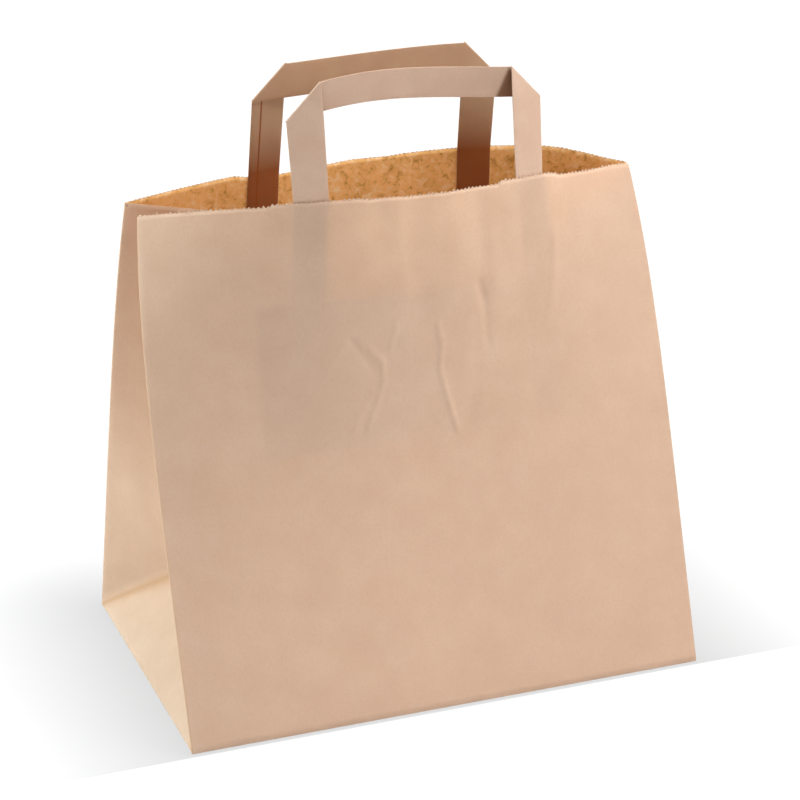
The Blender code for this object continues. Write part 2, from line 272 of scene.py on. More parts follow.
# %% Paper patterns
CLOUD_MM = 14.0
FIBRE_MM = 1.1
FLAKE_MM = 4.2
GRAIN_DEPTH = 0.0003


def pattern(tree, size_mm, detail, roughness, distortion=0.0):
    """A noise whose features are about size_mm across, on Object coordinates, which are in metres."""
    place = add_node(tree, "ShaderNodeTexCoord").outputs["Object"]
    noise = add_node(tree, "ShaderNodeTexNoise", {
        "Vector": place, "Scale": 1000.0 / size_mm, "Detail": detail, "Roughness": roughness,
        "Distortion": distortion})
    return noise.outputs["Fac"]


# %% [markdown]
# A Mix node has its number, vector and colour sockets in one list, so its colour sockets are picked by
# their place in it: 6 and 7 go in, and 2 comes out.

# %% Colour mixing
def mix_colours(tree, share, first, second, blend="MIX"):
    """Mixes two colours, each a value or a link, by a share that is a number or a link."""
    inputs = {0: share, 6: first, 7: second}
    return add_node(tree, "ShaderNodeMix", inputs, data_type="RGBA", blend_type=blend).outputs[2]


def ranged(tree, value, low, high, to_low=0.0, to_high=1.0):
    node = add_node(tree, "ShaderNodeMapRange", {
        "Value": value, "From Min": low, "From Max": high, "To Min": to_low, "To Max": to_high})
    return node.outputs[0]


# %% [markdown]
# Where the handles and the patch lie behind the front wall, they hold back light that comes through
# it, and that shade is painted: the wall is drawn a little greyer. The mesh carries an attribute,
# "behind", that says how much, and the outside's colour reads it. It also paints shade on the front's
# left end, where the photograph is darker. A second attribute, "shaded", paints shade where the mesh is
# too small or too deep to shade itself: the lines of the folds, the soft folds at a gusset's foot, a
# handle's glued seam, the low ends of the rear legs, the front grip's pocket and the side of the rear
# strip away from the bag.

# %% Paper outside
def darkened(tree, colour, attribute, tint):
    """Paints shade: the colour, multiplied by a tint where the mesh's attribute says so."""
    share = add_node(tree, "ShaderNodeAttribute", attribute_name=attribute).outputs["Fac"]
    return mix_colours(tree, share, colour, mix_colours(tree, 1.0, colour, linear(tint), "MULTIPLY"))


def paper_shader(tree, colour, grain, depth, roughness, gloss, through, see_through):
    """Ends a material in paper: a matt Principled shader, mixed with a Translucent one."""
    bump = add_node(tree, "ShaderNodeBump", {"Height": grain, "Strength": depth, "Distance": GRAIN_DEPTH})
    paper = add_node(tree, "ShaderNodeBsdfPrincipled", {
        "Base Color": colour, "Roughness": roughness, "Specular IOR Level": gloss, "Normal": bump.outputs[0]})
    lit = add_node(tree, "ShaderNodeBsdfTranslucent", {"Color": through})
    both = add_node(tree, "ShaderNodeMixShader", {0: see_through, 1: paper.outputs[0], 2: lit.outputs[0]})
    add_node(tree, "ShaderNodeOutputMaterial", {"Surface": both.outputs[0]})


def kraft_outside(name, base, cloud, shade, see_through=0.20):
    material = empty_material(name)
    tree = material.node_tree
    clouds = pattern(tree, CLOUD_MM, 3.0, 0.55)
    fibres = pattern(tree, FIBRE_MM, 4.0, 0.7)
    colour = mix_colours(tree, ranged(tree, clouds, 0.3, 0.7), linear(base), linear(cloud))
    colour = mix_colours(tree, ranged(tree, fibres, 0.45, 0.75, 0.0, 0.35), colour, linear("#c0967a"))
    # Painted shade, from the "behind" and "shaded" attributes.
    colour = darkened(tree, darkened(tree, colour, "behind", "#e6e6e8"), "shaded", shade)
    paper_shader(tree, colour, fibres, 0.12, 0.82, 0.3, linear("#fbeee0"), see_through)
    return material


outside_paper = kraft_outside("unbleached_kraft_outside", "#d9bba3", "#d3b39a", "#dcc5a4")
handle_papers = {
    "front": kraft_outside("unbleached_kraft_front_strip", "#d1b19b", "#caa891", "#a78e7c", see_through=0.04),
    # The rear strip is the same paper as the front one; its darker, browner colours are painted shade.
    "rear": kraft_outside("unbleached_kraft_rear_strip_painted_shade", "#c5a587", "#be9c7f", "#bf7926", see_through=0.04),
}
print("made", outside_paper.name, "and", [paper.name for paper in handle_papers.values()])

# %% Paper inside
def kraft_inside(name):
    material = empty_material(name)
    tree = material.node_tree
    flakes = pattern(tree, FLAKE_MM, 5.0, 0.72, 0.6)
    clouds = pattern(tree, CLOUD_MM, 2.0, 0.5)
    colour = mix_colours(tree, ranged(tree, clouds, 0.3, 0.7), linear("#fccc89"), linear("#f1be78"))
    colour = mix_colours(tree, ranged(tree, flakes, 0.52, 0.68), colour, linear("#ffe5bc"))
    colour = mix_colours(tree, ranged(tree, flakes, 0.46, 0.34), colour, linear("#c99750"))
    paper_shader(tree, colour, flakes, 0.1, 0.85, 0.25, colour, 0.35)
    return material


inside_paper = kraft_inside("unbleached_kraft_inside")
print("made", inside_paper.name)

# %% [markdown]
# ## The flat sheet and how it stands
#
# The flat sizes are the CAD's: 260 mm wide, 170 mm across a gusset, 250 mm high. The front and rear
# walls lean together and bow apart towards the mouth. A strip of paper keeps its length, so what a
# wall runs sideways is taken off its rise, step by step up the sheet. Handling has drawn the right end
# of the mouth in by two millimetres more.

# %% Sheet sizes
WIDTH, GUSSET, HEIGHT, WALL = 0.260, 0.170, 0.250, 0.0004
FLOOR = 2 * WALL
CORNER_GAP, MOUTH_SKEW, BOW_GROWTH = 0.0085, 0.0045, 2.5
FOLD_RADIUS, BASE_FOLD_RADIUS, SEAM_LAP, SEAM_PLY = 0.0003, 0.0006, 0.020, 0.0002
MOUTH_DRAWN_IN = 0.0018
TABLE_STEPS = 200
Leg = namedtuple("Leg", "rise lean splay opening")
Side = namedtuple("Side", "name sign bow skew spacing shift legs")


def leg(rise, *degrees):
    return Leg(rise, *map(math.radians, degrees))


FRONT = Side("front", -1, 0.037, -0.5, 0.1205, 0.0056, {
    -1: leg(0.0378, -6.5, -7.6, 27), 1: leg(0.0362, -7.0, 0.0, 34)})
REAR = Side("rear", 1, 0.026, 0.3, 0.1125, 0.0006, {
    -1: leg(0.0380, 3.5, -2.0, 5), 1: leg(0.0400, 4.0, -2.0, 9)})


def smooth_wall(side, across, heights):
    """Points of a wall with no creases: one row for each place across, one column for each height up."""
    share = np.linspace(0, 1, TABLE_STEPS + 1)
    bow = side.bow * share**BOW_GROWTH
    v = (2 * np.asarray(across, float) / WIDTH - 1)[:, None]
    x = v * (WIDTH / 2 - 4 / 3 * bow**2 / WIDTH) - MOUTH_DRAWN_IN * share * (v + 1) / 2
    bulge = bow * (1 - v * v) * (1 + side.skew * v)
    y = side.sign * (GUSSET / 2 - (GUSSET - CORNER_GAP) / 2 * share + bulge) - MOUTH_SKEW * v * share
    rise = np.sqrt((HEIGHT / TABLE_STEPS) ** 2 - np.diff(x) ** 2 - np.diff(y) ** 2)
    z = FLOOR + np.concatenate([np.zeros_like(v), np.cumsum(rise, axis=1)], axis=1)
    table = np.stack([x, y, z], axis=-1)
    place = np.asarray(heights, float) / HEIGHT * TABLE_STEPS
    below = np.clip(place.astype(int), 0, TABLE_STEPS - 1)
    part = (place - below)[None, :, None]
    return table[:, below] * (1 - part) + table[:, below + 1] * part


for side in (FRONT, REAR):
    print(side.name, "middle of the mouth:", smooth_wall(side, [WIDTH / 2], [HEIGHT])[0, 0].round(4))

# %% [markdown]
# ## Creases that the glue pulled in
#
# Glue shrinks as it dries, and puckers the front wall round the patch. The soft upright troughs run
# down from the mouth, and the small sharp creases sit between the legs. Each has a depth, a width and a
# line on the flat sheet, all in millimetres. Its cross section is a bell curve, so that many creases
# add up to a surface with no hard steps.

# %% Relief of the front wall
CREASES = (
    (0.40, 1.3, ((104, 176), (110, 170), (110, 160), (106, 150), (101, 139))),
    (0.42, 1.3, ((139, 184), (141, 174), (139, 163), (141, 153), (146, 133))),
    (-0.42, 2.2, ((162, 201), (165, 190), (165, 172))),
    (0.27, 2.0, ((207, 222), (205, 202), (198, 175))),
    (0.30, 1.4, ((82, 168), (89, 177), (95, 184))),
    (-0.27, 1.5, ((94, 183), (99, 175), (105, 167))),
    (0.27, 1.6, ((92, 131), (97, 146), (105, 155))),
    (0.25, 1.3, ((114, 176), (118, 186))),
    (-0.45, 7.0, ((127, 252), (129, 217), (132, 185))),
    (-0.50, 6.0, ((163, 252), (165, 217), (165, 196))),
    (0.45, 7.0, ((146, 252), (148, 226), (150, 208))),
    (0.35, 8.0, ((96, 252), (98, 225))),
    (-0.35, 8.0, ((112, 252), (113, 222))),
    (0.30, 7.0, ((60, 252), (63, 228))),
    (-0.30, 6.0, ((215, 252), (214, 225))),
    (0.35, 7.0, ((228, 252), (226, 222))),
    (-0.25, 5.0, ((176, 235), (177, 205))),
    (-0.28, 3.5, ((160, 183), (158, 154), (152, 134))),
    (-0.22, 4.0, ((136, 132), (128, 122))),
)


def bell(across, height, depth, width, line):
    """The crease's height in metres, over points given in metres on the flat sheet."""
    point = np.stack([across, height], axis=-1) * 1000
    line = np.array(line, float)
    nearest = np.full(across.shape, np.inf)
    for start, end in zip(line[:-1], line[1:]):
        run = end - start
        along = np.clip(((point - start) @ run) / (run @ run), 0, 1)
        nearest = np.minimum(nearest, np.linalg.norm(point - start - along[..., None] * run, axis=-1))
    return depth / 1000 * np.exp(-((nearest / width) ** 2))


SWELL, CALM_EDGE, CALM_FOOT = 0.00022, 0.012, 0.020


def relief(side, across, heights):
    """How far the wall stands proud of its smooth form, in metres. It is calm along the folds."""
    a, h = np.meshgrid(np.asarray(across, float), np.asarray(heights, float), indexing="ij")
    inside = np.clip(np.minimum(a, WIDTH - a) / CALM_EDGE, 0, 1)
    swell = SWELL * np.sin(a * 71 + 3 * np.sin(h * 23 + side.sign)) * np.sin(h * 58 + 1.3 * side.sign)
    total = swell * np.clip(h / CALM_FOOT, 0, 1)
    if side is FRONT:
        total = total + sum(bell(a, h, *crease) for crease in CREASES)
    return total * inside


def wall(side, across, heights):
    """Points of the wall's sheet, creases included, and the outward normals of its smooth form."""
    step = 0.0005
    across, heights = np.asarray(across, float), np.asarray(heights, float)
    base = smooth_wall(side, across, heights)
    aside = smooth_wall(side, across + step, heights) - smooth_wall(side, across - step, heights)
    above = smooth_wall(side, across, heights + step) - smooth_wall(side, across, heights - step)
    out = unit(-side.sign * np.cross(aside, above))
    return base + out * relief(side, across, heights)[..., None], out


print("front wall faces", wall(FRONT, [WIDTH / 2], [0.2])[1][0, 0].round(2))

# %% [markdown]
# ## The gussets
#
# A gusset folds inwards along its middle. Below the apex, half a gusset up, two diagonal folds run out
# to the base's corners with a flat foot between them. Above it, each row is a V whose middle fold is
# found from lengths of paper: half a gusset from both upright folds, and one row's height from below.
# The diagonal folds were never pressed as hard as the others, so they are soft and a little bowed.

# %% Rows and gussets
GUSSET_COLUMNS = 50
GUSSET_STEP = GUSSET / GUSSET_COLUMNS
HALF_GUSSET = GUSSET / 2
UPPER_ROWS = ((HALF_GUSSET, 0.11, 8), (0.11, 0.205, 61), (0.205, HEIGHT, 21))


lower_rows = [BASE_FOLD_RADIUS] + [GUSSET_STEP * row for row in range(1, GUSSET_COLUMNS // 2 + 1)]
heights = np.concatenate([lower_rows] + [np.linspace(*zone)[1:] for zone in UPPER_ROWS])


def middle_fold(hand, front, rear, below, length):
    """The middle fold in one row: half a gusset from both edges, and `length` from the row below."""
    pivot = (front + rear) / 2
    reach = math.sqrt(HALF_GUSSET**2 - (front - rear) @ (front - rear) / 4)
    gap = below - pivot
    inward, drop, level = -hand * gap[0], gap[2], length**2 - gap[1] ** 2
    distance = math.hypot(inward, drop)
    opening = math.acos((reach**2 + distance**2 - level) / (2 * reach * distance))
    angle = math.atan2(drop, inward) + opening
    return pivot + reach * np.array([-hand * math.cos(angle), 0.0, math.sin(angle)])


FOOT_SOFTNESS, FOOT_CURVE = 0.5, 0.36


def between(stops, places, points):
    """Points at the stops along a line of points."""
    return np.stack([np.interp(stops, places, points[:, axis]) for axis in range(3)], axis=-1)


def soft_row(places, knots, points, reach):
    """Points along a bent row of paper, with each bend spread over `reach` to both sides."""
    reach = np.minimum(reach, np.minimum(places, GUSSET - places))
    return np.mean([between(places + reach * part, knots, points) for part in np.linspace(-1, 1, 9)], axis=0)


def gusset_rows(hand, heights):
    """Rows of points across one gusset, from its front fold to its rear fold."""
    across = [WIDTH] if hand > 0 else [0.0]
    front, rear = smooth_wall(FRONT, across, heights)[0], smooth_wall(REAR, across, heights)[0]
    corners = [smooth_wall(side, across, [0.0])[0, 0] for side in (FRONT, REAR)]
    apex_row = GUSSET_COLUMNS // 2
    base_middle = np.array([hand * WIDTH / 2, 0.0, FLOOR])
    apex = middle_fold(hand, front[apex_row], rear[apex_row], base_middle, HALF_GUSSET)
    places = np.linspace(0, GUSSET, GUSSET_COLUMNS + 1)
    rows, middle = [], apex
    for row, height in enumerate(heights):
        if row > apex_row:
            middle = middle_fold(hand, front[row], rear[row], middle, height - heights[row - 1])
        share = min(height / HALF_GUSSET, 1.0)
        bend = 1 - FOOT_CURVE * (1 - share) ** 4
        folds = [edge + (corner + (apex - corner) * share - edge) * bend
                 for corner, edge in zip(corners, (front[row], rear[row]))]
        knots = [0.0, share * bend * HALF_GUSSET, GUSSET - share * bend * HALF_GUSSET, GUSSET]
        points = np.array([front[row], folds[0], folds[1], rear[row]])
        if row >= apex_row:
            knots, points = [0.0, HALF_GUSSET, GUSSET], np.array([front[row], middle, rear[row]])
        rows.append(soft_row(places, knots, points, FOOT_SOFTNESS * HALF_GUSSET * share * (1 - share) ** 2))
    return np.array(rows)


gussets = {hand: gusset_rows(hand, heights) for hand in (1, -1)}
print(len(heights), "rows; right apex at", gussets[1][GUSSET_COLUMNS // 2][GUSSET_COLUMNS // 2].round(4))

# %% [markdown]
# ## Round folds
#
# Paper can't turn a perfectly sharp corner. Each fold wraps round a radius of 0.3 mm, like a belt on a
# pin, which gives the edge its thin highlight.

# %% Folds
FOLD_POINTS = 6
FLAT_HALF_ANGLE = math.radians(85)


def rounded_fold(before, corner, after):
    """Points round a fold between its two neighbours. On nearly flat paper they only spread out."""
    to_before, to_after = unit(before - corner), unit(after - corner)
    opening = math.acos(np.clip(to_before @ to_after, -1, 1)) / 2
    if opening > FLAT_HALF_ANGLE:
        shares = np.linspace(-1 / 3, 1 / 3, FOLD_POINTS)
        return [corner + abs(share) * ((after if share > 0 else before) - corner) for share in shares]
    inward, aside = unit(to_before + to_after), unit(to_after - to_before)
    centre = corner + inward * FOLD_RADIUS * min(1 / math.sin(opening), math.sqrt(2))
    turns = []
    for neighbour in (before, after):
        reach = neighbour - centre
        away = math.acos(np.clip(-unit(reach) @ inward, -1, 1))
        turns.append(away - math.acos(min(1.0, FOLD_RADIUS / np.linalg.norm(reach))))
    angles = np.linspace(-turns[0], turns[1], FOLD_POINTS)
    return [centre + FOLD_RADIUS * (math.sin(a) * aside - math.cos(a) * inward) for a in angles]


# %% [markdown]
# ## Rings of the bag
#
# The body is a stack of closed rings, one for each row up the paper: front wall, right gusset, rear
# wall, left gusset, with a round fold at each corner. The front wall has a column every millimetre
# where it is creased. The knife that cut the mouth didn't run quite straight: the front's edge falls
# and rises by up to three millimetres, with a small step beside each handle.

# %% Columns and the cut edge
CUT_ZONE = 0.014
CUT_LINES = {
    "front": ((0, -1.4), (20, -2.1), (56, -2.1), (57.5, -1.1), (98, -1.0), (104, -2.1), (118, -2.3),
              (124, -2.9), (176, -3.1), (177.5, -1.6), (184, -1.8), (205, -1.2), (212, -1.8), (213.5, -2.8),
              (232, -2.5), (243, -1.6), (250, -1.0), (260, -1.0)),
    "rear": ((0, 0), (58, 0), (70, -2.8), (83, -3.5), (108, -2.5), (122, -1.4), (142, -1.6), (152, -0.8),
             (168, 0), (196, 1.5), (222, 2.6), (230, 2.5), (241, 1.3), (250, 0.2), (260, 0)),
}


def cut_rise(side, across):
    """How far a wall's cut edge stands above its even line."""
    places, rises = np.array(CUT_LINES[side.name]).T / 1000
    return np.interp(across, places, rises)


def cut_to_line(rows, rises):
    """Moves the top rows of a panel up or down the paper, so that its edge follows the cut."""
    share = np.clip((heights - (HEIGHT - CUT_ZONE)) / CUT_ZONE, 0, 1)
    up = unit(rows[-1] - rows[-2])
    return rows + up * (share[:, None] * rises)[..., None]


FRONT_ZONES = ((0, 0.052, 21), (0.052, 0.062, 11), (0.062, 0.082, 9), (0.082, 0.216, 135), (0.216, WIDTH, 20))
front_places = np.unique(np.concatenate([np.linspace(*zone) for zone in FRONT_ZONES]).round(6))
seam_edge = WIDTH - SEAM_LAP
rear_places = np.unique(np.concatenate([
    np.linspace(0, seam_edge - SEAM_PLY, 91), np.linspace(seam_edge + SEAM_PLY, WIDTH, 9)]).round(6))


def wall_rows(side, places):
    """The wall's points, one row of the bag after another, with their top rows on the cut edge."""
    points = wall(side, places, heights)[0]
    return cut_to_line(points.transpose(1, 0, 2), cut_rise(side, places))


front_rows, rear_rows = wall_rows(FRONT, front_places), wall_rows(REAR, rear_places)
for hand, rows in gussets.items():
    ends = [cut_rise(side, WIDTH if hand > 0 else 0.0) for side in (FRONT, REAR)]
    gussets[hand] = cut_to_line(rows, np.linspace(*ends, GUSSET_COLUMNS + 1))
print(len(front_places), "front columns and", len(rear_places), "rear columns")

# %% Rings
def ring_of(row):
    f, r = list(front_rows[row]), list(rear_rows[row])
    g, h = list(gussets[1][row]), list(gussets[-1][row])
    f[0], f[-1] = (f[0] + h[0]) / 2, (f[-1] + g[0]) / 2
    half = GUSSET_COLUMNS // 2
    ring = rounded_fold(h[1], f[0], f[1]) + f[1:-1] + rounded_fold(f[-2], f[-1], g[1])
    ring += g[1:half] + rounded_fold(*g[half - 1 : half + 2]) + g[half + 1 : -1]
    ring += rounded_fold(g[-2], r[-1], r[-2]) + r[-2:0:-1] + rounded_fold(r[1], r[0], h[-2])
    ring += h[-2:half:-1] + rounded_fold(*h[half + 1 : half - 2 : -1]) + h[half - 1 : 0 : -1]
    return np.array(ring)


FOLD_REACH = 0.0012


def ring_places():
    """Each column's place round the flat sheet, and which part of it the column lies on."""
    half = GUSSET_COLUMNS // 2
    steps = np.arange(1, GUSSET_COLUMNS) * GUSSET_STEP
    bend = np.linspace(-FOLD_REACH, FOLD_REACH, FOLD_POINTS)
    corners = np.cumsum([0, WIDTH, GUSSET, WIDTH])
    along, parts = [], []

    def lay(places, part):
        along.extend(places)
        parts.extend([part] * len(places))

    walls = (("front", "rear", corners[0], front_places),
             ("rear", "front", corners[2], WIDTH - rear_places[::-1]))
    for near, far, start, places in walls:
        lay(start + bend, "fold")
        lay(start + places[1:-1], near)
        lay(start + WIDTH + bend, "fold")
        lay(start + WIDTH + steps[: half - 1], f"gusset_{near}")
        lay(start + WIDTH + HALF_GUSSET + bend, "fold")
        lay(start + WIDTH + steps[half:], f"gusset_{far}")
    along, parts = np.array(along), np.array(parts)
    seam = (along > corners[2] - 0.002) & (along < corners[2] + SEAM_LAP)
    return along, parts, seam


rings = np.array([ring_of(row) for row in range(len(heights))])
ring_along, ring_parts, ring_seam = ring_places()
assert rings.shape[1] == len(ring_along)
print("rings:", rings.shape)

# %% [markdown]
# ## The bag's body
#
# The rings are the inner face of the paper. Moving each point out along its normal gives the outer
# face, a little further where the seam lap puts a second ply. The two meet at the mouth's cut edge, and
# floors close them at the base. Each has its own material, and a UV map lays out the flat sheet.

# %% Mesh helpers
def new_mesh(name, vertices, faces):
    mesh = bpy.data.meshes.new(name)
    mesh.from_pydata([tuple(vertex) for vertex in vertices], [], [tuple(face) for face in faces])
    mesh.update()
    return mesh


def vertex_normals(vertices, faces):
    """Normals that Blender works out on a mesh that is thrown away."""
    mesh = new_mesh("scratch", vertices, faces)
    normals = np.empty(len(mesh.vertices) * 3, np.float32)
    mesh.vertex_normals.foreach_get("vector", normals)
    bpy.data.meshes.remove(mesh)
    return normals.reshape(-1, 3).astype(float)


def add_piece(name, mesh, materials, replaces=(), smooth=True):
    """Links a finished mesh as a piece that rides on the bag's one body."""
    for material in materials:
        mesh.materials.append(material)
    mesh.polygons.foreach_set("use_smooth", [smooth] * len(mesh.polygons))
    piece = link(name, mesh)
    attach(piece, "root")
    if replaces:
        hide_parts(*replaces)
    print(name, len(mesh.vertices), "vertices,", len(mesh.polygons), "faces")
    return piece


def set_attribute(mesh, name, values):
    """Writes a number or a vector on each point."""
    values = np.asarray(values, np.float32)
    kind, field = ("FLOAT_VECTOR", "vector") if values.ndim == 2 else ("FLOAT", "value")
    mesh.attributes.new(name, kind, "POINT").data.foreach_set(field, values.ravel())


# %% Body faces
def inset_ring(ring, inset, height):
    flat = ring[:, :2]
    edges = np.roll(flat, -1, axis=0) - flat
    normals = unit(np.stack([-edges[:, 1], edges[:, 0]], axis=-1))
    mean = normals + np.roll(normals, 1, axis=0)
    mean /= (mean * normals).sum(axis=1, keepdims=True)
    return np.column_stack([flat + mean * inset, np.full(len(ring), height)])


turned = BASE_FOLD_RADIUS * (1 - math.cos(math.pi / 4))
base_rings = [inset_ring(rings[0], BASE_FOLD_RADIUS, FLOOR), inset_ring(rings[0], turned, FLOOR + turned)]
sheet_rings = np.concatenate([base_rings, rings])
sheet_heights = np.concatenate([[0.0, 0.0], heights])
ring_size = len(ring_along)


def sheet_faces():
    """The sheet's faces, from the floor up. Those of the gussets are split in two."""
    faces = [tuple(range(ring_size - 1, -1, -1))]
    for row in range(len(sheet_rings) - 1):
        low, high = row * ring_size, (row + 1) * ring_size
        for column in range(ring_size):
            after = (column + 1) % ring_size
            a, b, c, d = low + column, low + after, high + after, high + column
            parts = {ring_parts[column], ring_parts[after]}
            in_front, in_rear = "gusset_front" in parts, "gusset_rear" in parts
            if in_front and column < ring_size / 2 or in_rear and column > ring_size / 2:
                faces += [(a, b, c), (a, c, d)]
            elif in_front or in_rear:
                faces += [(a, b, d), (b, c, d)]
            else:
                faces.append((a, b, c, d))
    return faces


# %% Body mesh
def leg_places(side):
    centre = WIDTH / 2 + side.shift
    return centre - side.spacing / 2, centre + side.spacing / 2


HANDLE_WIDTH, LEG_GLUED = 0.0170, 0.116
PATCH_WIDTH, PATCH_HEIGHT, PATCH_DROP = 0.172, 0.072, 0.048
# Strengths of the painted shade.
PATCH_SHADE, LEG_SHADE, VALLEY_SHADE, FOLD_SHADE = 0.22, 0.12, 0.75, 0.50
LEFT_SHADE, LEFT_REACH = 0.35, 0.12


def painted_wall_shade(side, across, height):
    """How much painted shade the wall gets at points on its flat sheet, from 0 to 1."""
    def within(value, low, high, soft=0.0012):
        return np.clip((value - low) / soft, 0, 1) * np.clip((high - value) / soft, 0, 1)

    top, centre = HEIGHT - PATCH_DROP, WIDTH / 2 + side.shift
    on_patch = within(across, centre - PATCH_WIDTH / 2, centre + PATCH_WIDTH / 2)
    fade = np.clip(1.2 - 1.8 * across / WIDTH, 0, 1)
    shade = PATCH_SHADE * fade * on_patch * within(height, top - PATCH_HEIGHT, top)
    for place in leg_places(side):
        strip = within(across, place - HANDLE_WIDTH / 2, place + HANDLE_WIDTH / 2)
        strip = strip * within(height, HEIGHT - LEG_GLUED, HEIGHT + 0.01, 0.002)
        shade = np.maximum(shade, LEG_SHADE * strip)
    # Painted shade that fades out from the front's left end.
    if side is FRONT:
        shade = shade + LEFT_SHADE * np.clip(across / 0.002, 0, 1) * np.clip(1 - across / LEFT_REACH, 0, 1)
    return shade


def valley_shade(across, height):
    """How much painted shade the soft folds at the gusset's foot get, from 0 to 1."""
    run = np.minimum(across, GUSSET - across)
    reach = np.where(height >= run, 0.0022 + 0.05 * run, 0.0030 + 0.09 * run)
    shade = np.exp(-((height - run) / reach) ** 2)
    return VALLEY_SHADE * shade * np.clip((0.070 - run) / 0.02, 0, 1) * np.clip(run / 0.002, 0, 1)


def outer_face(inner, faces):
    thickness = np.tile(np.where(ring_seam, WALL + SEAM_PLY, WALL), len(sheet_rings))
    thickness[: 2 * ring_size] = WALL
    return inner + vertex_normals(inner, faces) * thickness[:, None]


def body_mesh(inner, outer, faces):
    """Both faces of the sheet and the rim between them, with the shades and the UV map."""
    count = len(inner)
    top = (len(sheet_rings) - 1) * ring_size
    rim = [(top + i, top + (i + 1) % ring_size) for i in range(ring_size)]
    everything = list(faces)
    everything += [tuple(count + vertex for vertex in reversed(face)) for face in faces]
    everything += [(a, b, count + b, count + a) for a, b in rim]
    mesh = new_mesh("bag_sheet", np.concatenate([outer, inner]), everything)
    mesh.polygons.foreach_set("material_index", [0] * len(faces) + [1] * len(faces) + [0] * len(rim))
    along = np.tile(ring_along, len(sheet_rings))
    up = np.repeat(sheet_heights, ring_size)
    # Painted shade where the patches and legs lie behind the walls, and at the front's left end.
    front_shade = painted_wall_shade(FRONT, along, up)
    rear_shade = painted_wall_shade(REAR, 2 * WIDTH + GUSSET - along, up)
    starts = (WIDTH, 2 * WIDTH + GUSSET)
    # Painted shade in the soft folds at both gussets' feet.
    foot_shade = sum(np.where((along > start) & (along < start + GUSSET), valley_shade(along - start, up), 0)
                     for start in starts)
    # Painted shade along the middle points of each fold, left off the gussets' middle folds below the apex.
    fold = ring_parts == "fold"
    fold_middle = fold & np.roll(fold, 1) & np.roll(fold, -1)
    gusset_middle = sum(abs(ring_along - start - HALF_GUSSET) < 0.002 for start in starts)
    pressed = (sheet_heights[:, None] > HALF_GUSSET) | (gusset_middle[None, :] == 0)
    fold_shade = (FOLD_SHADE * fold_middle * pressed).ravel()
    set_attribute(mesh, "behind", np.concatenate([front_shade + rear_shade, np.zeros(count)]))
    set_attribute(mesh, "shaded", np.concatenate([foot_shade + fold_shade, np.zeros(count)]))
    corners = np.empty(len(mesh.loops), np.int32)
    mesh.loops.foreach_get("vertex_index", corners)
    corners %= count
    uv = np.stack([along[corners] % (2 * WIDTH + 2 * GUSSET), up[corners]], axis=-1)
    mesh.uv_layers.new(name="sheet").data.foreach_set("uv", uv.astype(np.float32).ravel())
    return mesh


inner = sheet_rings.reshape(-1, 3)
faces = sheet_faces()
outer = outer_face(inner, faces)
sheet = add_piece("bag_sheet", body_mesh(inner, outer, faces), [outside_paper, inside_paper],
                  ["bag_body"])
for face in sheet.data.polygons[-ring_size:]:
    face.use_smooth = False

# %% [markdown]
# ## Saw teeth along the mouth
#
# The tube of paper is torn into bags against a toothed knife, which leaves a row of small teeth along
# the mouth. They are all one shape, so Geometry Nodes puts a three-sided prism on each of a row of
# points, which carry the directions along the edge and up out of it, and how worn it is. A seeded
# random value makes some shorter. Only the front's teeth still stand up clearly.

# %% Points along the mouth
TOOTH_PITCH, TOOTH_HEIGHT, TOOTH_SINK, WORN_TOOTH = 0.0022, 0.0014, 0.0003, 0.4


def mouth_points():
    """Evenly spaced points on the cut edge, with their directions and tooth sizes."""
    edge, below = ((outer[start : start + ring_size] + inner[start : start + ring_size]) / 2
                   for start in (len(inner) - ring_size, len(inner) - 2 * ring_size))
    closed = np.concatenate([edge, edge[:1]])
    run = np.concatenate([[0], np.cumsum(np.linalg.norm(np.diff(closed, axis=0), axis=1))])
    stops = np.arange(0, run[-1], TOOTH_PITCH)
    place = between(stops, run, closed)
    upward = edge - below
    up = between(stops, run, np.concatenate([upward, upward[:1]]))
    along = np.roll(place, -1, axis=0) - np.roll(place, 1, axis=0)
    part = np.append(ring_parts, ring_parts[0])[np.searchsorted(run, stops)]
    size = np.where(part == "front", 1.0, WORN_TOOTH)
    return [values[part != "fold"] for values in (place, along, up, size)]


def mouth_line():
    place, along, up, size = mouth_points()
    up = unit(up)
    mesh = new_mesh("mouth_line", place + up * (TOOTH_HEIGHT / 3 - TOOTH_SINK), [])
    for name, values in (("along", along), ("up", up), ("size", size)):
        set_attribute(mesh, name, values)
    return link("mouth_line", mesh)


# %% Teeth by Geometry Nodes
TOOTH_INPUTS = {"Tooth Height": TOOTH_HEIGHT, "Tooth Pitch": TOOTH_PITCH, "Paper Thickness": WALL}
TOOTH_SEED = 7


